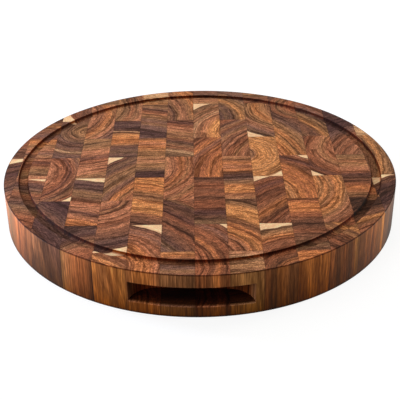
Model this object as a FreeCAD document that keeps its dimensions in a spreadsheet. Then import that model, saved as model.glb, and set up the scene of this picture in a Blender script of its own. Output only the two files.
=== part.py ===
import FreeCAD, Part
import math
import os
import Sketcher

# Round end-grain chopping block, in millimetres.
# Blocks of wood stand on end in strips, each strip shifted half a block from its neighbours like bricks.
# The glued slab is turned round, grooved on top and slotted at the front and back for the fingers.
# Origin: middle of the underside. +Z up, the finger slots face -Y and +Y, strips run nearly along Y.

SIZES = {
    # Turned board
    "board_diameter": 400.0,
    "board_thickness": 44.5,
    "top_edge_bevel": 0.5,
    "bottom_edge_bevel": 1.0,
    # Juice groove in the top face, with round bottom corners, and the flat rim outside it
    "rim_width": 14.5,
    "groove_width": 10.0,
    "groove_depth": 3.5,
    "groove_corner": 2.5,
    # Finger slots in the side wall, a little below its middle
    "handle_width": 112.5,
    "handle_height": 19.2,
    "handle_drop": 0.7,
    "handle_depth": 28.0,
    "handle_corner": 25.0,
    "handle_edge_round": 1.0,
    # The least wood between the back of a finger slot and the next joint
    "handle_wall": 6.0,
    # Glued blocks
    "strip_width": 30.0,
    "strip_shift": -6.0,
    "block_length": 92.0,
    "joint_shift": -24.5,
    "grain_turn": 2.75,
    # The narrowest offcut that is glued in as a piece of its own
    "least_offcut": 12.0,
    # How far cutters and sawn blocks run past the finished faces
    "overrun": 5.0,
}
HANDLES = 2

# How closely heights, radii and the summed volume have to agree, in millimetres and as a share
SAME_PLACE = 1e-4
same_volume_share = 1e-6
MM3_PER_LITRE = 1e6

doc = FreeCAD.newDocument("chopping_block")


def make_sheet():
    """Spreadsheet with one named cell for each driving dimension."""
    sheet = doc.addObject("Spreadsheet::Sheet", "Sizes")
    for row, (name, value) in enumerate(SIZES.items(), 1):
        sheet.set(f"A{row}", name)
        sheet.set(f"B{row}", str(value))
        sheet.setAlias(f"B{row}", name)
    doc.recompute()


def add_sketch(body, name, role):
    """Empty sketch on one of the body's own origin planes."""
    plane = next(item for item in body.Origin.OriginFeatures if item.Role == role)
    sketch = body.newObject("Sketcher::SketchObject", name)
    sketch.AttachmentSupport = [(plane, "")]
    sketch.MapMode = "FlatFace"
    return sketch


def bind(sketch, constraint, name, expression):
    """Add a named constraint whose value follows the sheet."""
    index = sketch.addConstraint(constraint)
    sketch.renameConstraint(index, name)
    sketch.setExpression(f"Constraints.{name}", expression)


def is_same(value, wanted):
    """True where two lengths agree."""
    return math.isclose(value, wanted, abs_tol=SAME_PLACE)


def on_disc_edge(height):
    """Test for the disc's outer edge at one height."""
    return lambda edge: isinstance(edge.Curve, Part.Circle) and is_same(edge.Curve.Center.z, height)


def on_slot_lip(edge):
    """Test for the long upper or lower edge that a finger slot leaves in the side wall."""
    radius = SIZES["board_diameter"] / 2
    lowest = (SIZES["board_thickness"] - SIZES["handle_height"]) / 2 - SIZES["handle_drop"]
    highest = lowest + SIZES["handle_height"]
    if not isinstance(edge.Curve, Part.Circle) or not is_same(edge.Curve.Radius, radius):
        return False
    return is_same(edge.Curve.Center.z, lowest) or is_same(edge.Curve.Center.z, highest)


def ease_edges(body, base, name, test, kind, size, expression):
    """Round or bevel every edge of the base that passes the test."""
    doc.recompute()
    edges = [f"Edge{number}" for number, edge in enumerate(base.Shape.Edges, 1) if test(edge)]
    feature = body.newObject(f"PartDesign::{kind}", name)
    feature.Base = (base, edges)
    feature.setExpression(size, expression)
    return feature


def add_disc(body):
    """Plain disc with its top and bottom edges eased."""
    sketch = add_sketch(body, "disc_outline", "XY_Plane")
    origin = FreeCAD.Vector(0, 0, 0)
    up = FreeCAD.Vector(0, 0, 1)
    circle = sketch.addGeometry(Part.Circle(origin, up, SIZES["board_diameter"] / 2))
    sketch.addConstraint(Sketcher.Constraint("Coincident", circle, 3, -1, 1))
    diameter = Sketcher.Constraint("Diameter", circle, SIZES["board_diameter"])
    bind(sketch, diameter, "across", "Sizes.board_diameter")
    disc = body.newObject("PartDesign::Pad", "disc")
    disc.Profile = sketch
    disc.setExpression("Length", "Sizes.board_thickness")
    highest = on_disc_edge(SIZES["board_thickness"])
    top = ease_edges(body, disc, "top_edge", highest, "Chamfer", "Size", "Sizes.top_edge_bevel")
    lowest = on_disc_edge(0)
    return ease_edges(body, top, "bottom_edge", lowest, "Chamfer", "Size", "Sizes.bottom_edge_bevel")


def add_groove(body):
    """Juice groove turned into the top face near the rim, as a round-cornered cutter leaves it."""
    corner = SIZES["groove_corner"]
    outer = SIZES["board_diameter"] / 2 - SIZES["rim_width"]
    inner = outer - SIZES["groove_width"]
    floor = SIZES["board_thickness"] - SIZES["groove_depth"]
    above = SIZES["board_thickness"] + SIZES["overrun"]
    bend = floor + corner
    quarter = math.pi / 2
    normal = FreeCAD.Vector(0, 0, 1)

    def point(reach, height):
        return FreeCAD.Vector(reach, height, 0)

    sketch = add_sketch(body, "groove_section", "XZ_Plane")
    sketch.addGeometry([
        Part.LineSegment(point(inner, above), point(inner, bend)),
        Part.ArcOfCircle(Part.Circle(point(inner + corner, bend), normal, corner), 2 * quarter, 3 * quarter),
        Part.LineSegment(point(inner + corner, floor), point(outer - corner, floor)),
        Part.ArcOfCircle(Part.Circle(point(outer - corner, bend), normal, corner), 3 * quarter, 4 * quarter),
        Part.LineSegment(point(outer, bend), point(outer, above)),
        Part.LineSegment(point(outer, above), point(inner, above)),
    ])
    inner_wall, inner_bend, bed, outer_bend, outer_wall, lid = range(6)
    sketch.addConstraint([
        Sketcher.Constraint("Tangent", inner_wall, 2, inner_bend, 1),
        Sketcher.Constraint("Tangent", inner_bend, 2, bed, 1),
        Sketcher.Constraint("Tangent", bed, 2, outer_bend, 1),
        Sketcher.Constraint("Tangent", outer_bend, 2, outer_wall, 1),
        Sketcher.Constraint("Coincident", outer_wall, 2, lid, 1),
        Sketcher.Constraint("Coincident", lid, 2, inner_wall, 1),
        Sketcher.Constraint("Vertical", inner_wall),
        Sketcher.Constraint("Vertical", outer_wall),
        Sketcher.Constraint("Horizontal", bed),
        Sketcher.Constraint("Horizontal", lid),
        Sketcher.Constraint("Equal", inner_bend, outer_bend),
    ])
    bind(sketch, Sketcher.Constraint("Radius", inner_bend, corner), "corner", "Sizes.groove_corner")
    reach = Sketcher.Constraint("DistanceX", -1, 1, lid, 2, inner)
    bind(sketch, reach, "reach", "Sizes.board_diameter / 2 - Sizes.rim_width - Sizes.groove_width")
    across = Sketcher.Constraint("DistanceX", lid, 2, lid, 1, outer - inner)
    bind(sketch, across, "across", "Sizes.groove_width")
    lift = Sketcher.Constraint("DistanceY", -1, 1, bed, 1, floor)
    bind(sketch, lift, "lift", "Sizes.board_thickness - Sizes.groove_depth")
    clear = Sketcher.Constraint("DistanceY", -1, 1, lid, 1, above)
    bind(sketch, clear, "clear", "Sizes.board_thickness + Sizes.overrun")
    groove = body.newObject("PartDesign::Groove", "juice_groove")
    groove.Profile = sketch
    groove.ReferenceAxis = (sketch, ["V_Axis"])
    groove.Angle = 360
    return groove


def add_handles(body):
    """Finger slots routed into the side wall, with the inner corners left by a round cutter."""
    half = SIZES["handle_width"] / 2
    corner = SIZES["handle_corner"]
    back = SIZES["handle_depth"] - SIZES["board_diameter"] / 2
    mouth = -SIZES["board_diameter"] / 2 - SIZES["overrun"]
    flat = half - corner
    turn = back - corner
    quarter = math.pi / 2
    up = FreeCAD.Vector(0, 0, 1)

    def point(x, y):
        return FreeCAD.Vector(x, y, 0)

    sketch = add_sketch(body, "handle_plan", "XY_Plane")
    lowest = "(Sizes.board_thickness - Sizes.handle_height) / 2 - Sizes.handle_drop"
    sketch.setExpression("AttachmentOffset.Base.z", lowest)
    sketch.addGeometry([
        Part.LineSegment(point(half, mouth), point(half, turn)),
        Part.ArcOfCircle(Part.Circle(point(flat, turn), up, corner), 0, quarter),
        Part.LineSegment(point(flat, back), point(-flat, back)),
        Part.ArcOfCircle(Part.Circle(point(-flat, turn), up, corner), quarter, 2 * quarter),
        Part.LineSegment(point(-half, turn), point(-half, mouth)),
        Part.LineSegment(point(-half, mouth), point(half, mouth)),
    ])
    right, right_bend, wall, left_bend, left, front = range(6)
    sketch.addConstraint([
        Sketcher.Constraint("Tangent", right, 2, right_bend, 1),
        Sketcher.Constraint("Tangent", right_bend, 2, wall, 1),
        Sketcher.Constraint("Tangent", wall, 2, left_bend, 1),
        Sketcher.Constraint("Tangent", left_bend, 2, left, 1),
        Sketcher.Constraint("Coincident", left, 2, front, 1),
        Sketcher.Constraint("Coincident", front, 2, right, 1),
        Sketcher.Constraint("Horizontal", wall),
        Sketcher.Constraint("Vertical", right),
        Sketcher.Constraint("Vertical", left),
        Sketcher.Constraint("Equal", right_bend, left_bend),
        Sketcher.Constraint("Symmetric", front, 1, front, 2, -2),
    ])
    span = Sketcher.Constraint("DistanceX", front, 1, front, 2, 2 * half)
    bind(sketch, span, "span", "Sizes.handle_width")
    bind(sketch, Sketcher.Constraint("Radius", right_bend, corner), "bend", "Sizes.handle_corner")
    deep = Sketcher.Constraint("DistanceY", wall, 1, -1, 1, -back)
    bind(sketch, deep, "deep", "Sizes.board_diameter / 2 - Sizes.handle_depth")
    clear = Sketcher.Constraint("DistanceY", front, 1, -1, 1, -mouth)
    bind(sketch, clear, "clear", "Sizes.board_diameter / 2 + Sizes.overrun")

    slot = body.newObject("PartDesign::Pocket", "front_handle")
    slot.Profile = sketch
    slot.Reversed = True
    slot.setExpression("Length", "Sizes.handle_height")
    pair = body.newObject("PartDesign::PolarPattern", "handles")
    pair.Originals = [slot]
    pair.Axis = (sketch, ["N_Axis"])
    pair.Angle = 360
    pair.Occurrences = HANDLES
    body.Tip = pair
    return ease_edges(body, pair, "handle_lips", on_slot_lip, "Fillet", "Radius", "Sizes.handle_edge_round")


def make_board():
    """The whole turned board, which trims every block to its finished form."""
    body = doc.addObject("PartDesign::Body", "turned_board")
    disc = add_disc(body)
    groove = add_groove(body)
    slots = add_handles(body)
    doc.recompute()
    volumes = [feature.Shape.Volume for feature in (disc, groove, slots)]
    if not volumes[0] > volumes[1] > volumes[2]:
        raise RuntimeError(f"a cut took nothing away: {volumes}")
    return body


def cut_numbers(shift, pitch, limit):
    """Numbers of the glue lines, counted from shift, that lie within a limit on both sides of the centre."""
    first = math.ceil((-limit - shift) / pitch)
    last = math.floor((limit - shift) / pitch)
    return range(first, last + 1)


def spans(cuts, shift, pitch):
    """Start and size of each piece between glue lines, as expressions. The outer pieces run past the rim."""
    lines = [f"({shift} + {number} * {pitch})" for number in cuts]
    if not lines:
        return [("-Sizes.board_diameter / 2", "Sizes.board_diameter")]
    first = [(f"{lines[0]} - Sizes.board_diameter", "Sizes.board_diameter")]
    inner = [(line, pitch) for line in lines[:-1]]
    last = [(lines[-1], "Sizes.board_diameter")]
    return first + inner + last


def nearest(number, is_first, is_last):
    """Distance from the centre to the nearest part of a strip, given the glue line on its left."""
    left = SIZES["strip_shift"] + number * SIZES["strip_width"]
    right = left + SIZES["strip_width"]
    if is_first:
        return max(0, -right)
    if is_last:
        return max(0, left)
    return max(0, left, -right)


def joint_limit(near):
    """How far from the centre a strip may be jointed, clear of the rim and of a finger slot's back wall."""
    radius = SIZES["board_diameter"] / 2
    limit = math.sqrt(radius**2 - near**2) - SIZES["least_offcut"]
    turn = math.radians(SIZES["grain_turn"])
    slot_reach = SIZES["handle_width"] / 2 * math.cos(turn) + radius * math.sin(abs(turn))
    if near < slot_reach:
        limit = min(limit, radius - SIZES["handle_depth"] - SIZES["handle_wall"])
    return limit


def make_block(name, across, along, board):
    """One block, sawn as a plain bar on end and trimmed by the turned board."""
    bar = doc.addObject("Part::Box", f"sawn_{name}")
    upright = FreeCAD.Rotation(FreeCAD.Vector(0, 0, 1), SIZES["grain_turn"])
    bar.Placement = FreeCAD.Placement(FreeCAD.Vector(0, 0, 0), upright)
    bar.setExpression("Length", across[1])
    bar.setExpression("Width", along[1])
    bar.setExpression("Height", "Sizes.board_thickness + 2 * Sizes.overrun")
    turn = "Sizes.grain_turn"
    bar.setExpression("Placement.Base.x", f"({across[0]}) * cos({turn}) - ({along[0]}) * sin({turn})")
    bar.setExpression("Placement.Base.y", f"({across[0]}) * sin({turn}) + ({along[0]}) * cos({turn})")
    bar.setExpression("Placement.Base.z", "-Sizes.overrun")
    bar.setExpression("Placement.Rotation.Angle", turn)
    block = doc.addObject("Part::Common", name)
    block.Label = name
    block.Base = bar
    block.Tool = board
    return block


def make_blocks(board):
    """All strips from left to right, each a row of blocks from front to back."""
    strip_limit = SIZES["board_diameter"] / 2 - SIZES["least_offcut"]
    strip_cuts = list(cut_numbers(SIZES["strip_shift"], SIZES["strip_width"], strip_limit))
    strips = spans(strip_cuts, "Sizes.strip_shift", "Sizes.strip_width")
    blocks = []
    for order, across in enumerate(strips):
        number = strip_cuts[0] - 1 + order
        near = nearest(number, order == 0, order == len(strips) - 1)
        stagger = number % 2
        shift = SIZES["joint_shift"] + stagger * SIZES["block_length"] / 2
        shift_cell = f"Sizes.joint_shift + {stagger} * Sizes.block_length / 2"
        cuts = cut_numbers(shift, SIZES["block_length"], joint_limit(near))
        for place, along in enumerate(spans(cuts, shift_cell, "Sizes.block_length"), 1):
            blocks.append(make_block(f"strip_{order + 1:02d}_block_{place}", across, along, board))
    return blocks


def check(board, blocks):
    """Stop unless every object is sound, each block is one solid and the blocks fill the board."""
    for item in doc.Objects:
        if "Invalid" in item.State or "Error" in item.State:
            raise RuntimeError(f"{item.Name} failed: {item.State}")
    for block in blocks:
        shape = block.Shape
        if shape.isNull() or not shape.isValid() or len(shape.Solids) != 1:
            raise RuntimeError(f"{block.Label} is not one sound solid")
    total = sum(block.Shape.Volume for block in blocks)
    if not math.isclose(total, board.Shape.Volume, rel_tol=same_volume_share):
        raise RuntimeError(f"blocks hold {total:.1f} mm3, board {board.Shape.Volume:.1f} mm3")


make_sheet()
board = make_board()
blocks = make_blocks(board)
doc.recompute()
check(board, blocks)
os.makedirs("parts", exist_ok=True)
for block in blocks:
    block.Shape.exportStep(f"parts/{block.Label}.step")
print(f"{len(blocks)} blocks, {board.Shape.Volume / MM3_PER_LITRE:.3f} litres")
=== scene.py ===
import math
import bpy
from mathutils import Color, Matrix, Quaternion, Vector


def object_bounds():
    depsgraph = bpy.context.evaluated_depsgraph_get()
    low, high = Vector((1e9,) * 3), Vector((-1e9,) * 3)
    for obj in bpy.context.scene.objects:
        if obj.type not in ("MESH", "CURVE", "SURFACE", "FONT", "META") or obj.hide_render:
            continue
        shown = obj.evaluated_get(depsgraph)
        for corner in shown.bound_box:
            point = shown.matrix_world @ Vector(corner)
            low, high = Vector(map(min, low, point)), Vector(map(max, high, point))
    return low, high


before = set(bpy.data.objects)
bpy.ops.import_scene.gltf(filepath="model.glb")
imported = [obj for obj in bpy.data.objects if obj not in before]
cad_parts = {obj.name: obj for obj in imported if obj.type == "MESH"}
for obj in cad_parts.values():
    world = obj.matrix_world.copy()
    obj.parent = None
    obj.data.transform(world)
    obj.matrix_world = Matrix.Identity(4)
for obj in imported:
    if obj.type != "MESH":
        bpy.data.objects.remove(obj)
CAD_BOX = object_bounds()

# Lengths are millimetres in the board's own frame unless a name says otherwise
MM_PER_METRE = 1000.0

# The turned board and its strips of blocks on end, as they are modelled
BOARD_RADIUS = CAD_BOX[1][0] * MM_PER_METRE
BOARD_THICKNESS = CAD_BOX[1][2] * MM_PER_METRE
GROOVE_MIDDLE = 180.5
GROOVE_WIDTH = 10.0
GROOVE_DEPTH = 3.5
SLOT_MIDDLE = 21.55
SLOT_HEIGHT = 19.2
STRIP_WIDTH = 30.0
STRIP_SHIFT = -6.0
FIRST_STRIP_FROM_SHIFT = -7
GRAIN_TURN = math.radians(2.75)

# Wood tones as they look on a display, 0 to 255
TONES = {
    "sap": (243, 190, 142),
    "pale": (184, 138, 98),
    "gold": (186, 120, 69),
    "orange": (174, 104, 58),
    "salmon": (164, 104, 72),
    "tan": (146, 100, 64),
    "olive": (117, 82, 55),
    "russet": (134, 77, 49),
    "brown": (110, 69, 48),
    "mauve": (104, 72, 60),
    "plum": (72, 45, 40),
    "umber": (60, 36, 24),
}

# How each block's end grain is figured, strip by strip from the left and front to back.
# First the pith of its tree: across from the strip's left line and along the strip.
# Then the tones of the rings, each at its distance from the pith. Sapwood starts sharply.
FIGURES = {
    "01_1": ((86, -124.5), "80 salmon 100 mauve 112 brown 126 plum 136 brown 142 plum "
             "149 brown 151 sap"),
    "01_2": ((15, -150), "172 brown 178 brown 195 brown 210 russet"),
    "02_1": ((-30, -220), "112 brown 121 russet 130 russet 146 olive 152 mauve 163 brown 172 russet "
             "177 olive 184 mauve 191 plum 196 salmon 200 sap"),
    "02_2": ((15, -320), "297 salmon 308 olive 315 tan 326 russet 331 plum 334 russet 342 salmon 346 tan "
             "352 mauve 360 salmon 372 tan 380 orange"),
    "02_3": ((15, -230), "298 russet 306 mauve 318 brown 325 brown 331 gold 338 brown 350 umber"),
    "03_1": ((-145, -230), "165 mauve 178 brown 181 brown 186 plum 193 plum 197 mauve 203 mauve 206 brown "
             "212 mauve 218 plum 232 plum"),
    "03_2": ((-36.5, -13.5), "36 salmon 44 salmon 50 russet 55 russet 59 plum 62 russet 64 salmon 66.5 brown "
             "69 mauve 72 tan 75 brown 78 russet 81 brown 82 sap"),
    "03_3": ((31.5, 88), "2 tan 12 tan 18 olive 22 brown 27 olive 32 mauve 38 brown 44 mauve 48 brown "
             "52 umber 54.5 pale 56.5 pale 58.5 brown 62 plum 68 mauve"),
    "03_4": ((66, 147), "30 mauve 40 brown 50 brown 57 russet 60 sap"),
    "04_1": ((60, -240), "70 umber 80 russet 90 russet 97 salmon 103 olive 107 brown "
             "115 plum 120 mauve 127 umber"),
    "04_2": ((-45, -271), "166 orange 172 orange 178 salmon 183 brown 186 plum 189 plum 192 salmon "
             "198 salmon 206 russet 212 brown 216 olive 220 olive 225 tan 231 mauve 240 plum 246 mauve "
             "248.5 olive 249.5 sap"),
    "04_3": ((75, -220), "206 olive 211 tan 216 salmon 224 salmon 235 salmon 245 russet 248 plum 250 plum "
             "253 brown 258 salmon 266 salmon 272 tan 282 olive 290 tan"),
    "04_4": ((-60, 130), "58 olive 66 salmon 74 brown 82 orange 86 tan 92 salmon 100 mauve"),
    "04_5": ((15, 0), "160 tan 168 olive 175 olive"),
    "05_1": ((-60, -270), "100 russet 112 orange 114 salmon 116 orange 119 gold 124 salmon 130 salmon "
             "136 orange"),
    "05_2": ((-12, -58), "16 tan 22 salmon 28 salmon 32 russet 34 plum 36 salmon 38 tan 40.5 umber "
             "43 russet 46 salmon 54 salmon 60 russet 64 umber 67 salmon 74 brown 84 brown 90 mauve "
             "97 plum 102 brown 103.5 sap"),
    "05_3": ((148, -128), "120 brown 132 salmon 138 russet 143 tan 147 orange 151 orange 154 plum 159 mauve "
             "163 tan 169 olive 175 tan 180 brown 184 mauve 190 olive 194 plum 198 brown 200 sap"),
    "05_4": ((15, -300), "322 umber 327 mauve 335 olive 342 mauve 349 plum 353 tan 357 orange 366 orange "
             "376 gold 382 brown 384.5 pale 386.5 plum 395 plum 404 mauve 409 plum 414 brown"),
    "05_5": ((-80, 150), "82 tan 92 olive 98 russet 104 olive 110 salmon"),
    "06_1": ((-22, -187), "24 salmon 32 orange 38 orange 42 orange 47 russet 50 salmon 56 russet 60 salmon "
             "64 mauve 67 salmon 70 plum 73 brown 74.5 sap"),
    "06_2": ((-58, -321), "219 umber 226 brown 229 brown 231 brown 235 russet 239 gold 246 gold 252 gold "
             "258 orange 263 tan 266 umber 269 brown 273 tan 280 orange 288 orange 296 gold 303 orange"),
    "06_3": ((15, -330), "306 umber 311 plum 318 plum 325 olive 330 tan 337 tan 345 salmon 352 tan "
             "361 tan 366 tan 375 orange 384 salmon 391 orange 395 olive 398 umber"),
    "06_4": ((-60, -90), "178 mauve 184 plum 194 mauve 202 mauve 207 tan 211 brown 216 mauve 226 tan "
             "238 russet 246 mauve 252 tan"),
    "06_5": ((15, 0), "160 gold 166 tan 176 tan 183 pale 190 pale 196 salmon"),
    "07_1": ((15, -300), "98 brown 101 brown 103 brown 107 tan 112 mauve 118 umber 126 brown 131 orange "
             "138 tan"),
    "07_2": ((-100, -230), "126 mauve 131 olive 136 plum 144 brown 148 brown 152 russet 157 umber 160 brown "
             "166 russet 172 plum 178 brown 183 umber 188 plum 191 olive 196 russet 203 brown"),
    "07_3": ((-50, 3), "50 tan 57 salmon 60 brown 63 russet 68 orange 71 russet 74 tan 78 russet 82 salmon "
             "85 russet 88 brown 92 tan 98 russet 104 salmon"),
    "07_4": ((-30, -80), "111 umber 118 olive 121.5 pale 124 pale 126.5 brown 131 russet 138 olive "
             "144 mauve 150 russet 155 tan 160 brown 166 tan 173 salmon 180 salmon 186 russet 192 plum "
             "197 brown"),
    "07_5": ((-110, 120), "108 tan 114 brown 118 mauve 122 tan 127 salmon 132 brown 138 tan 142 orange"),
    "08_1": ((-40, -185), "40 russet 44 russet 48 russet 52 russet 56 brown 60 orange 63 russet 66 umber "
             "69 russet 74 russet 78 brown 82 mauve 86 russet 90 brown 93 sap"),
    "08_2": ((15, -330), "215 olive 220 olive 225 umber 228 brown 232 plum 238 plum 243 russet 250 russet "
             "256 russet 260 umber 264 brown 270 russet 277 brown 283 russet 290 russet 297 brown "
             "301 umber 304 umber 306 russet"),
    "08_3": ((124, -29), "92 salmon 100 orange 106 russet 109 orange 115 russet 119 russet 122 orange "
             "126 russet 131 mauve 136 orange 142 russet 150 brown"),
    "08_4": ((70, 80), "40 brown 45 gold 52 gold 58 salmon 61 russet 63 umber 65.5 salmon 70 pale 74 salmon "
             "77 umber 80 tan 84 salmon 87 olive 91 olive 93.5 umber 94.5 sap"),
    "08_5": ((15, 0), "160 tan 165 tan 170 salmon 180 tan 188 mauve 196 brown"),
    "09_1": ((15, -300), "101 russet 103 tan 106 tan 108 brown 112 tan 118 tan 124 brown 128 pale "
             "134 salmon 139 tan"),
    "09_2": ((-22, -172), "22 russet 28 salmon 34 russet 38 umber 40 salmon 44 orange 46 umber 48.5 gold "
             "55 orange 58 russet 60 orange 64 brown 67 umber 70 brown 74 gold 82 gold 92 gold 98 olive "
             "104 umber 110 brown"),
    "09_3": ((15, -350), "281 tan 287 salmon 290.5 umber 293 orange 300 gold 307 orange 311 olive "
             "317 olive 321 mauve 328 plum 332 umber 335 umber 338 orange 348 salmon 358 orange 361 brown "
             "363.5 umber 366 tan 372 salmon"),
    "09_4": ((104, 2), "76 brown 80 salmon 83 umber 85 salmon 88 russet 91 tan 97 russet 101 russet "
             "103 umber 105.5 salmon 108 salmon 110.5 plum 113 brown 115 salmon 118 tan 124 mauve "
             "130 russet 134 tan 138 mauve 146 russet 156 brown"),
    "09_5": ((-40, 120), "40 mauve 44 plum 47 olive 53 mauve 57 umber 60 olive 64 gold 70 tan 76 olive "
             "84 mauve"),
    "10_1": ((35.5, -202), "12 russet 22 brown 26 orange 30 umber 46 russet 54 brown 60 russet 66 orange "
             "72 tan 77 olive 81 umber 82 sap"),
    "10_2": ((112, -184), "96 russet 108 russet 116 brown 122 russet 130 umber 138 orange 146 brown "
             "152 russet 158 umber 164 russet 172 plum 178 russet 181 russet 184 brown 186.5 sap"),
    "10_3": ((-13.5, 27), "13 tan 17 mauve 22 gold 26 gold 32 gold 35 tan 38 gold 42 tan 45 gold 49 gold "
             "52 tan 55 gold 57.5 olive 59 sap"),
    "10_4": ((64, 147), "36 brown 44 tan 52 orange 58 tan 64 olive 72 salmon 80 mauve 86 olive 90 umber "
             "91 sap"),
    "10_5": ((15, 0), "160 russet 168 brown 176 brown 183 olive 190 tan"),
    "11_1": ((15, -300), "118 russet 122 orange 128 orange 134 orange 138 russet 143 orange"),
    "11_2": ((15, -350), "190 brown 198 olive 206 brown 214 brown 220 russet 226 brown 232 umber "
             "240 brown 246 russet 250 russet 258 orange 268 orange 274 russet 278 umber"),
    "11_3": ((-40, -65), "40 orange 46 tan 54 orange 62 russet 66 orange 73 russet 76 orange 84 brown "
             "88 russet 91 plum 95 plum 98 russet 102 salmon 104.5 brown 105.5 sap"),
    "11_4": ((-160, -20), "165 salmon 174 orange 182 gold 187 olive 192 orange 198 tan 204 tan "
             "214 mauve 225 brown"),
    "11_5": ((40, 150), "8 brown 20 russet 32 olive 38 russet 42 umber 46 mauve 55 brown"),
    "12_1": ((-100, -260), "140 russet 148 brown 156 russet 162 umber 167 russet 172 tan 175 umber "
             "177.5 plum 180 gold 184 gold 186.5 umber"),
    "12_2": ((-45, -45), "46 orange 52 tan 56 orange 60 tan 63.5 brown 66 orange 72 gold 76 olive "
             "80 salmon 86 brown 92 russet"),
    "12_3": ((63.5, 35), "20 russet 32 salmon 40 russet 48 tan 53 salmon 60 russet 65 russet 68 umber "
             "72 plum 75 russet 78 brown 80 sap"),
    "12_4": ((-80, 40), "86 olive 94 brown 101 plum 105 brown 109 gold 114 tan 122 olive 132 mauve "
             "150 russet"),
    "13_1": ((60, -200), "85 brown 92 russet 96 brown 98.5 umber 101 gold 104.5 gold 107 plum 113 brown "
             "118 umber 124 umber 130 umber"),
    "13_2": ((15, -350), "281 brown 288 tan 294 russet 300 orange 307 russet 313 umber 317 brown 322 umber "
             "328 plum 333 russet 340 salmon 350 tan 357 russet 359.5 umber 362 tan 370 olive"),
    "13_3": ((66, 6), "38 olive 46 brown 52 salmon 56 brown 59 umber 61.5 russet 65 brown 68 salmon "
             "71 brown 74 russet 80 brown 88 mauve 100 plum 112 plum"),
    "13_4": ((15, 0), "114 mauve 122 plum 135 plum"),
    "14_1": ((91.5, -161), "95 umber 108 brown 113 mauve 118 plum 124 plum 132 umber 142 plum "
             "146 brown 153 sap"),
    "14_2": ((-150, 20), "152 brown 156 brown 160 olive 164 gold 168 tan 174 olive 180 brown"),
    "14_3": ((15, 180), "82 tan 88 pale 97 pale"),
}

# Sapwood: how sharply it starts and how much of the fine figure it shows
SAP_EDGE = 0.5
SAP_FIGURE = 0.3

# How far around itself each ring looks for its neighbours' tones, and how much it keeps of its own
CALM_REACH = 9.0
CALM_KEEP = 0.5

# Slack for telling one face from the next
HAIR = 0.05

# A colour factor that changes nothing
UNCHANGED = (1.0, 1.0, 1.0)

# Camera: where it stands, what it looks at, its turn about its own axis and its lens
CAMERA_PLACE = (35.28, -821.84, 473.87)
CAMERA_TARGET = (-0.34, 6.35, 0.0)
CAMERA_ROLL = math.radians(-0.6516)
CAMERA_LENS = 80.44
CAMERA_SENSOR = 36.0


def plug(tree, socket, value):
    """Link a socket, or set it to a value."""
    if isinstance(value, bpy.types.NodeSocket):
        tree.links.new(value, socket)
    else:
        socket.default_value = value


def compute(tree, operation, *values):
    """One math node."""
    made = tree.nodes.new("ShaderNodeMath")
    made.operation = operation
    for socket, value in zip(made.inputs, values):
        plug(tree, socket, value)
    return made.outputs[0]


def vector_math(tree, operation, *values):
    """One vector math node."""
    made = tree.nodes.new("ShaderNodeVectorMath")
    made.operation = operation
    for socket, value in zip(made.inputs, values):
        plug(tree, socket, value)
    return made.outputs[0]


def combine(tree, *values):
    """A vector from three numbers."""
    made = tree.nodes.new("ShaderNodeCombineXYZ")
    for socket, value in zip(made.inputs, values):
        plug(tree, socket, value)
    return made.outputs[0]


def separate(tree, vector):
    """The three numbers of a vector."""
    made = tree.nodes.new("ShaderNodeSeparateXYZ")
    plug(tree, made.inputs[0], vector)
    return made.outputs[:]


def noise(tree, vector, size, detail=2.0):
    """Noise from 0 to 1 whose features are about one size across."""
    made = tree.nodes.new("ShaderNodeTexNoise")
    plug(tree, made.inputs["Vector"], vector)
    made.inputs["Scale"].default_value = 1 / size
    made.inputs["Detail"].default_value = detail
    return made.outputs[0]


def ramp_between(tree, value, low, high, at_low=0.0, at_high=1.0):
    """A smooth step from one value to another."""
    made = tree.nodes.new("ShaderNodeMapRange")
    made.interpolation_type = "SMOOTHSTEP"
    for socket, number in zip(made.inputs, (value, low, high, at_low, at_high)):
        plug(tree, socket, number)
    return made.outputs[0]


def near(tree, distance, reach):
    """1 at no distance, falling smoothly to 0 at the reach."""
    return ramp_between(tree, distance, 0.0, reach, 1.0, 0.0)


def mottle(tree, vector, size, amount, detail=2.0):
    """Noise that swings by an amount to both sides of 1."""
    weakest, strongest = 0.3, 0.7
    uneven = noise(tree, vector, size, detail)
    return ramp_between(tree, uneven, weakest, strongest, 1 - amount, 1 + amount)


def product(tree, *values):
    """All the factors multiplied."""
    total = values[0]
    for value in values[1:]:
        total = compute(tree, "MULTIPLY", total, value)
    return total


def factor_where(tree, mask, factor):
    """A number where the mask is 1, and 1 where the mask is 0."""
    return compute(tree, "MULTIPLY_ADD", mask, factor - 1, 1.0)


def faded(tree, factor, share):
    """A factor that counts by a share, so that at 0 it changes nothing."""
    return compute(tree, "MULTIPLY_ADD", compute(tree, "SUBTRACT", factor, 1.0), share, 1.0)


def plan_distance(tree, across, along):
    """Distance from the middle, seen from above."""
    squared = compute(tree, "MULTIPLY_ADD", along, along, compute(tree, "MULTIPLY", across, across))
    return compute(tree, "SQRT", squared)


def new_group(name, inputs, outputs):
    """An empty node group with its sockets, and its input and output nodes."""
    group = bpy.data.node_groups.new(name, "ShaderNodeTree")
    for label, kind in inputs.items():
        group.interface.new_socket(label, in_out="INPUT", socket_type=kind)
    for label, kind in outputs.items():
        group.interface.new_socket(label, in_out="OUTPUT", socket_type=kind)
    return group, group.nodes.new("NodeGroupInput").outputs, group.nodes.new("NodeGroupOutput").inputs


def use_group(tree, group, **values):
    """A node that runs a group."""
    made = tree.nodes.new("ShaderNodeGroup")
    made.node_tree = group
    for label, value in values.items():
        plug(tree, made.inputs[label], value)
    return made.outputs


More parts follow.
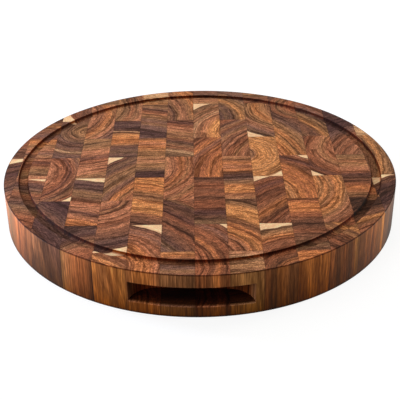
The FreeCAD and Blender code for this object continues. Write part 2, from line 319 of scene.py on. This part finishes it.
def strip_place_group():
    """Place in millimetres along the strips' own axes: across, along and up."""
    group, _, out = new_group("strip_place", {}, {"Place": "NodeSocketVector"})
    mapping = group.nodes.new("ShaderNodeMapping")
    mapping.inputs["Scale"].default_value = (MM_PER_METRE, MM_PER_METRE, MM_PER_METRE)
    mapping.inputs["Rotation"].default_value = (0, 0, -GRAIN_TURN)
    coordinate = group.nodes.new("ShaderNodeTexCoord")
    group.links.new(coordinate.outputs["Object"], mapping.inputs["Vector"])
    group.links.new(mapping.outputs[0], out["Place"])
    return group


def ring_distance_group(strip_place):
    """Distance from a leaning pith, made uneven as growth rings are, and the way round the pith."""
    coarse_size, coarse_reach = 26.0, 6.0
    fine_size, fine_reach = 8.0, 1.6
    noise_middle = 0.5
    lean_across, lean_along = 0.05, 0.035
    along_grain_share = 0.12
    inputs = {"Pith": "NodeSocketVector", "Seed": "NodeSocketFloat"}
    outputs = {"Distance": "NodeSocketFloat", "Round": "NodeSocketFloat"}
    group, given, out = new_group("ring_distance", inputs, outputs)
    across, along, up = separate(group, use_group(group, strip_place)["Place"])
    pith_across, pith_along, _ = separate(group, given["Pith"])
    below_top = compute(group, "SUBTRACT", up, BOARD_THICKNESS)
    from_across = compute(group, "SUBTRACT", across, pith_across)
    from_along = compute(group, "SUBTRACT", along, pith_along)
    leaning_across = compute(group, "MULTIPLY_ADD", below_top, lean_across, from_across)
    leaning_along = compute(group, "MULTIPLY_ADD", below_top, lean_along, from_along)
    straight = plan_distance(group, leaning_across, leaning_along)
    own_up = compute(group, "MULTIPLY_ADD", up, along_grain_share, given["Seed"])
    place = combine(group, across, along, own_up)
    coarse = compute(group, "SUBTRACT", noise(group, place, coarse_size), noise_middle)
    fine = compute(group, "SUBTRACT", noise(group, place, fine_size), noise_middle)
    bent = compute(group, "MULTIPLY_ADD", coarse, coarse_reach, straight)
    plug(group, out["Distance"], compute(group, "MULTIPLY_ADD", fine, fine_reach, bent))
    angle = compute(group, "ARCTAN2", leaning_along, leaning_across)
    plug(group, out["Round"], compute(group, "MULTIPLY", angle, straight))
    return group


def groove_mask(tree, radius, below_top):
    """Mask for painted shade: 1 at the rims of the juice groove, falling to 0 towards its floor."""
    side = 2.2
    half_width = GROOVE_WIDTH / 2
    from_middle = compute(tree, "ABSOLUTE", compute(tree, "SUBTRACT", radius, GROOVE_MIDDLE))
    return product(tree, compute(tree, "LESS_THAN", from_middle, half_width + HAIR),
                   ramp_between(tree, from_middle, half_width - side, half_width),
                   compute(tree, "GREATER_THAN", below_top, HAIR),
                   compute(tree, "LESS_THAN", below_top, GROOVE_DEPTH + HAIR))


def slot_masks(tree, inside, up):
    """Two masks for painted shade that grow inwards from the wall: the finger slots, and their lower faces
    alone.
    """
    reach, floor_reach = 15.0, 4.0
    half_height = SLOT_HEIGHT / 2
    from_middle = compute(tree, "ABSOLUTE", compute(tree, "SUBTRACT", up, SLOT_MIDDLE))
    in_slot = compute(tree, "LESS_THAN", from_middle, half_height + HAIR)
    on_floor = compute(tree, "LESS_THAN", up, SLOT_MIDDLE - half_height + HAIR)
    slot = product(tree, in_slot, ramp_between(tree, inside, HAIR, reach))
    slot_floor = product(tree, in_slot, on_floor, ramp_between(tree, inside, HAIR, floor_reach))
    return slot, slot_floor


def painted_shade(tree, radius, up, on_wall):
    """Colour factor with painted shade in the groove and slots and down the wall, a painted contact shadow at
    its foot, and a darker line along the top edge.
    """
    # Painted shade in the groove, darkest at its sides
    groove_painted_shade = (0.24, 0.09, 0.02)
    # Painted shade deepening into the finger slots, and on their lower faces near the mouth
    slot_painted_shade, slot_floor_painted_shade = (0.3, 0.14, 0.06), (0.2, 0.12, 0.06)
    # A darker line along the top outer edge
    edge_dark, edge_inset, edge_drop = (0.2, 0.1, 0.04), 1.6, 1.6
    # Painted shade: the wall darkens steadily from the top towards its foot
    foot_painted_shade = (0.32, 0.23, 0.02)
    # Painted contact shadow in a thin band along the foot of the wall
    sole_painted_shadow, sole_inset, sole_height = (0.16, 0.09, 0.04), 3.0, 4.0
    inside = compute(tree, "SUBTRACT", BOARD_RADIUS, radius)
    below_top = compute(tree, "SUBTRACT", BOARD_THICKNESS, up)
    groove = groove_mask(tree, radius, below_top)
    slot, slot_floor = slot_masks(tree, inside, up)
    edge = product(tree, near(tree, inside, edge_inset), near(tree, below_top, edge_drop))
    foot = product(tree, on_wall, compute(tree, "DIVIDE", below_top, BOARD_THICKNESS))
    sole = product(tree, near(tree, inside, sole_inset), near(tree, up, sole_height))
    shade = UNCHANGED
    for mask, dark in ((groove, groove_painted_shade), (slot, slot_painted_shade), (slot_floor, slot_floor_painted_shade),
                       (edge, edge_dark), (foot, foot_painted_shade), (sole, sole_painted_shadow)):
        drop = [share - 1 for share in dark]
        darker = vector_math(tree, "MULTIPLY_ADD", mask, drop, UNCHANGED)
        shade = vector_math(tree, "MULTIPLY", shade, darker)
    return shade


def ring_marks(tree, distance, way_round, along_grain):
    """Factors for the lines along the rings, the short dashes among them and the rays across them."""
    line_size, line_length, line_detail = 3.0, 70.0, 3.0
    line_from, line_to, line_dark, line_light = 0.35, 0.53, 0.44, 1.16
    dash_size, dash_length, dash_swing = 1.4, 8.0, 0.36
    ray_size, ray_length, ray_detail, ray_swing = 1.4, 4.0, 1.0, 0.24
    line_round = compute(tree, "MULTIPLY", way_round, line_size / line_length)
    line_noise = noise(tree, combine(tree, distance, line_round, along_grain), line_size, line_detail)
    lines = ramp_between(tree, line_noise, line_from, line_to, line_dark, line_light)
    dash_round = compute(tree, "MULTIPLY", way_round, dash_size / dash_length)
    dashes = mottle(tree, combine(tree, distance, dash_round, along_grain), dash_size, dash_swing)
    ray_distance = compute(tree, "MULTIPLY", distance, ray_size / ray_length)
    rays = mottle(tree, combine(tree, ray_distance, way_round, along_grain), ray_size, ray_swing, ray_detail)
    return lines, dashes, rays


def pore_mask(tree, place):
    """1 in the open pores, otherwise 0."""
    spacing, width = 1.5, 0.3
    cells = tree.nodes.new("ShaderNodeTexVoronoi")
    plug(tree, cells.inputs["Vector"], place)
    cells.inputs["Scale"].default_value = 1 / spacing
    return ramp_between(tree, cells.outputs["Distance"], width / 2, width, 1.0, 0.0)


def wall_fibres(tree, across, along, up, seed):
    """Factor for the long grain's upright streaks."""
    size, length, swing = 0.9, 11.0, 0.34
    drawn_out = compute(tree, "MULTIPLY_ADD", up, size / length, seed)
    return mottle(tree, combine(tree, across, along, drawn_out), size, swing)


def glue_shade(tree, across, along, low, high):
    """Factor for the thin dark line along a block's four glued sides."""
    width, dark = 0.5, 0.6
    low_across, low_along, _ = separate(tree, low)
    high_across, high_along, _ = separate(tree, high)
    sides = [compute(tree, "SUBTRACT", across, low_across), compute(tree, "SUBTRACT", high_across, across),
             compute(tree, "SUBTRACT", along, low_along), compute(tree, "SUBTRACT", high_along, along)]
    nearest = sides[0]
    for side in sides[1:]:
        nearest = compute(tree, "MINIMUM", nearest, side)
    return ramp_between(tree, nearest, 0.0, width, dark, 1.0)


def wood_roughness(tree, specks, on_wall):
    """Dull end grain and smoother long grain, both a little uneven."""
    end_grain, long_grain, reach = 0.85, 0.45, 0.12
    mean = compute(tree, "MULTIPLY_ADD", on_wall, long_grain - end_grain, end_grain)
    return compute(tree, "MULTIPLY_ADD", compute(tree, "SUBTRACT", specks, 1.0), reach, mean)


def wood_relief(tree, lines, pores):
    """Normal of a surface with sunken pores and faintly raised rings."""
    pore_drop_m, line_rise_m = 0.0002, 0.00005
    strength, distance_m = 0.5, 1.0
    line_height = compute(tree, "MULTIPLY", lines, line_rise_m)
    bump = tree.nodes.new("ShaderNodeBump")
    bump.inputs["Strength"].default_value = strength
    bump.inputs["Distance"].default_value = distance_m
    plug(tree, bump.inputs["Height"], compute(tree, "MULTIPLY_ADD", pores, -pore_drop_m, line_height))
    return bump.outputs[0]


def wood_surface_group(strip_place):
    """Fine marks, blotches, glue lines, painted shade, a dark top edge and lighter long grain, partly painted
    light, on top of a block's ring tones.
    """
    marks_gain, marks_on_wall = 1.23, 0.62
    speck_size, speck_detail, speck_swing = 1.0, 1.0, 0.38
    blotch_size, blotch_swing = 30.0, 0.12
    along_grain_share = 0.015
    pore_dark, sap_on_wall = 0.5, 0.4
    # Long grain on the wall lighter and warmer than end grain; the lightening is partly painted light for the
    # brightly lit sides
    long_grain_and_side_light_gain = (0.46, 0.42, 0.05)
    dark_warmth = (-0.12, 0.03, 0.22)
    palest_wood = (0.9, 0.9, 0.9)
    inputs = {"Tone": "NodeSocketColor", "Figure": "NodeSocketFloat", "Distance": "NodeSocketFloat",
              "Round": "NodeSocketFloat", "Seed": "NodeSocketFloat", "Low": "NodeSocketVector",
              "High": "NodeSocketVector"}
    outputs = {"Color": "NodeSocketColor", "Roughness": "NodeSocketFloat", "Normal": "NodeSocketVector"}
    group, given, out = new_group("wood_surface", inputs, outputs)
    figure, seed = given["Figure"], given["Seed"]
    across, along, up = separate(group, use_group(group, strip_place)["Place"])
    along_grain = compute(group, "MULTIPLY_ADD", up, along_grain_share, seed)
    place = combine(group, across, along, along_grain)
    radius = plan_distance(group, across, along)
    on_wall = compute(group, "GREATER_THAN", radius, BOARD_RADIUS - HAIR)

    lines, dashes, rays = ring_marks(group, given["Distance"], given["Round"], along_grain)
    specks = mottle(group, place, speck_size, speck_swing, speck_detail)
    pores = pore_mask(group, place)
    marks = product(group, marks_gain, lines, dashes, rays, specks, factor_where(group, pores, pore_dark))
    shown_marks = faded(group, marks, product(group, figure, factor_where(group, on_wall, marks_on_wall)))
    fibres = faded(group, wall_fibres(group, across, along, up, seed), on_wall)
    grain = product(group, shown_marks, fibres)

    blotches = mottle(group, place, blotch_size, blotch_swing)
    glue = glue_shade(group, across, along, given["Low"], given["High"])
    wall_sap = product(group, on_wall, compute(group, "SUBTRACT", 1.0, figure))
    shade = product(group, grain, blotches, glue, factor_where(group, wall_sap, sap_on_wall))
    # Lighter, warmer long grain on the wall, partly painted light
    long_grain = product(group, on_wall, figure)
    long_grain_and_side_light = vector_math(group, "MULTIPLY_ADD", long_grain, long_grain_and_side_light_gain, UNCHANGED)
    # Painted shade in the groove, slots and down the wall, a painted contact shadow and a dark top edge
    painted_shade_factor = painted_shade(group, radius, up, on_wall)
    dark_grain = compute(group, "MINIMUM", grain, 1.0)
    warmed = combine(group, *(compute(group, "POWER", dark_grain, power) for power in dark_warmth))
    colour = given["Tone"]
    for factor in (long_grain_and_side_light, painted_shade_factor, warmed, shade):
        colour = vector_math(group, "MULTIPLY", colour, factor)

    plug(group, out["Color"], vector_math(group, "MINIMUM", colour, palest_wood))
    plug(group, out["Roughness"], wood_roughness(group, specks, on_wall))
    plug(group, out["Normal"], wood_relief(group, lines, pores))
    return group


def linear(tone):
    """A named tone as the renderer counts it."""
    display_top = 255
    shares = [value / display_top for value in TONES[tone]]
    return tuple(Color(shares).from_srgb_to_scene_linear())


def ring_stops(text):
    """Distance and tone of each ring, with a hard step where the sapwood starts."""
    words = text.split()
    stops = [(float(place), tone) for place, tone in zip(words[::2], words[1::2])]
    if stops[-1][1] == "sap":
        stops.insert(-1, (stops[-1][0] - SAP_EDGE, stops[-2][1]))
    return stops


def calm_tones(stops):
    """The tone of each ring, drawn towards those of the rings around it. Its alpha says how figured it is."""
    rings = [stop for stop in stops if stop[1] != "sap"]
    places = [place for place, _ in rings]
    channels = list(zip(*(linear(tone) for _, tone in rings)))
    widths = [after - before for before, after in zip([places[0]] + places, places[1:] + [places[-1]])]
    tones = []
    for place, tone in stops:
        own = linear(tone)
        if tone == "sap":
            tones.append((*own, SAP_FIGURE))
            continue
        weights = [width * math.exp(-((other - place) / CALM_REACH) ** 2)
                   for other, width in zip(places, widths)]
        means = [sum(weight * value for weight, value in zip(weights, channel)) / sum(weights)
                 for channel in channels]
        calm = [mean + CALM_KEEP * (value - mean) for mean, value in zip(means, own)]
        tones.append((*calm, 1.0))
    return tones


def block_corners(block):
    """Lowest and highest corner of a block along the strips' own axes."""
    turned = Matrix.Rotation(-GRAIN_TURN, 3, "Z") * MM_PER_METRE
    places = [turned @ vertex.co for vertex in block.data.vertices]
    low = [min(place[axis] for place in places) for axis in range(3)]
    high = [max(place[axis] for place in places) for axis in range(3)]
    return low, high


def ring_ramp(tree, distance, stops):
    """The ring tones by distance from the pith, as colour and alpha."""
    first, last = stops[0][0], stops[-1][0]
    share = tree.nodes.new("ShaderNodeMapRange")
    for socket, value in zip(share.inputs, (distance, first, last)):
        plug(tree, socket, value)
    ramp = tree.nodes.new("ShaderNodeValToRGB")
    plug(tree, ramp.inputs[0], share.outputs[0])
    elements = ramp.color_ramp.elements
    elements.remove(elements[-1])
    for number, ((place, _), tone) in enumerate(zip(stops, calm_tones(stops))):
        position = (place - first) / (last - first)
        element = elements[0] if number == 0 else elements.new(position)
        element.position = position
        element.color = tone
    return ramp.outputs


def wood_material(label, block, seed, ring_distance, wood_surface):
    """Satin oiled wood of one block."""
    specular_level = 0.1
    (pith_across, pith_along), text = FIGURES[label]
    strip = int(label.split("_")[0]) - 1
    left_line = STRIP_SHIFT + (FIRST_STRIP_FROM_SHIFT + strip) * STRIP_WIDTH
    low, high = block_corners(block)
    material = bpy.data.materials.new(f"wood_{label}")
    material.use_nodes = True
    tree = material.node_tree
    pith = (left_line + pith_across, pith_along, 0)
    ring = use_group(tree, ring_distance, Pith=pith, Seed=seed)
    tones = ring_ramp(tree, ring["Distance"], ring_stops(text))
    finish = use_group(tree, wood_surface, Tone=tones["Color"], Figure=tones["Alpha"],
                       Distance=ring["Distance"], Round=ring["Round"], Seed=seed, Low=low, High=high)
    shader = tree.nodes["Principled BSDF"]
    plug(tree, shader.inputs["Base Color"], finish["Color"])
    plug(tree, shader.inputs["Roughness"], finish["Roughness"])
    plug(tree, shader.inputs["Normal"], finish["Normal"])
    shader.inputs["Specular IOR Level"].default_value = specular_level
    return material


def dress_blocks():
    """Give every block its own wood."""
    seed_step = 97.0
    strip_place = strip_place_group()
    ring_distance = ring_distance_group(strip_place)
    wood_surface = wood_surface_group(strip_place)
    for number, label in enumerate(FIGURES):
        strip, place = label.split("_")
        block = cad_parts[f"strip_{strip}_block_{place}"]
        wood = wood_material(label, block, number * seed_step, ring_distance, wood_surface)
        block.material_slots[0].material = wood


def seen_share(tree, in_gloss):
    """1 for rays from the camera, a share for those from glossy surfaces, otherwise 0."""
    rays = tree.nodes.new("ShaderNodeLightPath").outputs
    return compute(tree, "MULTIPLY_ADD", rays["Is Glossy Ray"], in_gloss, rays["Is Camera Ray"])


def floor_material():
    """Pale floor that looks white where it is lit and keeps a faint shadow."""
    lit_share, glow_in_gloss = 0.2, 0.6
    near_glow, near_m = 0.86, 0.8
    far_glow, far_m = 1.0, 2.5
    material = bpy.data.materials.new("pale_floor")
    material.use_nodes = True
    tree = material.node_tree
    tree.nodes.clear()
    diffuse = tree.nodes.new("ShaderNodeBsdfDiffuse")
    diffuse.inputs["Color"].default_value = (lit_share, lit_share, lit_share, 1)
    emission = tree.nodes.new("ShaderNodeEmission")
    across, along, _ = separate(tree, tree.nodes.new("ShaderNodeTexCoord").outputs["Object"])
    from_board = plan_distance(tree, across, along)
    glow = ramp_between(tree, from_board, near_m, far_m, near_glow, far_glow)
    seen = seen_share(tree, glow_in_gloss)
    plug(tree, emission.inputs["Strength"], compute(tree, "MULTIPLY", seen, glow))
    both = tree.nodes.new("ShaderNodeAddShader")
    plug(tree, both.inputs[0], diffuse.outputs[0])
    plug(tree, both.inputs[1], emission.outputs[0])
    out = tree.nodes.new("ShaderNodeOutputMaterial")
    plug(tree, out.inputs["Surface"], both.outputs[0])
    return material


def add_floor():
    """Wide square floor under the board."""
    half_m = 6.0
    mesh = bpy.data.meshes.new("floor")
    corners = [(-half_m, -half_m, 0), (half_m, -half_m, 0), (half_m, half_m, 0), (-half_m, half_m, 0)]
    mesh.from_pydata(corners, [], [(0, 1, 2, 3)])
    mesh.materials.append(floor_material())
    floor = bpy.data.objects.new("floor", mesh)
    bpy.context.scene.collection.objects.link(floor)


def add_world():
    """Soft white surroundings, plain white where they are seen."""
    surround, seen_in_gloss = 0.3, 0.0
    world = bpy.data.worlds.new("studio")
    bpy.context.scene.world = world
    world.use_nodes = True
    tree = world.node_tree
    background = tree.nodes["Background"]
    background.inputs["Color"].default_value = (1, 1, 1, 1)
    seen = seen_share(tree, seen_in_gloss)
    strength = compute(tree, "MULTIPLY_ADD", seen, 1 - surround, surround)
    plug(tree, background.inputs["Strength"], strength)


def add_lamp(name, place_m, size_m, watts, tint=(1, 1, 1)):
    """Square soft lamp that points at the board."""
    data = bpy.data.lights.new(name, "AREA")
    data.shape = "SQUARE"
    data.size = size_m
    data.energy = watts
    data.color = tint
    lamp = bpy.data.objects.new(name, data)
    lamp.location = place_m
    lamp.rotation_euler = (-Vector(place_m)).to_track_quat("-Z", "Y").to_euler()
    bpy.context.scene.collection.objects.link(lamp)


def add_lamps():
    """Overhead light from behind, low ones behind on both sides and a weak one at the front left."""
    cool, warm = (0.9, 1.0, 1.3), (1.04, 1.0, 0.84)
    add_lamp("overhead", place_m=(-0.25, 0.7, 1.7), size_m=1.4, watts=10.0)
    add_lamp("left_low", place_m=(-1.51, 0.46, 0.2), size_m=0.4, watts=52.0, tint=cool)
    add_lamp("right_low", place_m=(1.43, 0.67, 0.2), size_m=0.4, watts=26.5, tint=warm)
    add_lamp("front", place_m=(-1.0, -1.3, 0.7), size_m=0.8, watts=9.8)


def add_camera():
    """The photograph's viewpoint."""
    data = bpy.data.cameras.new("camera")
    data.lens = CAMERA_LENS
    data.sensor_width = CAMERA_SENSOR
    camera = bpy.data.objects.new("camera", data)
    place = Vector(CAMERA_PLACE) / MM_PER_METRE
    target = Vector(CAMERA_TARGET) / MM_PER_METRE
    aim = (target - place).to_track_quat("-Z", "Y")
    camera.location = place
    camera.rotation_mode = "QUATERNION"
    camera.rotation_quaternion = aim @ Quaternion((0, 0, 1), CAMERA_ROLL)
    bpy.context.scene.collection.objects.link(camera)
    bpy.context.scene.camera = camera


bpy.context.scene.view_settings.view_transform = "Standard"
dress_blocks()
add_floor()
add_world()
add_lamps()
add_camera()
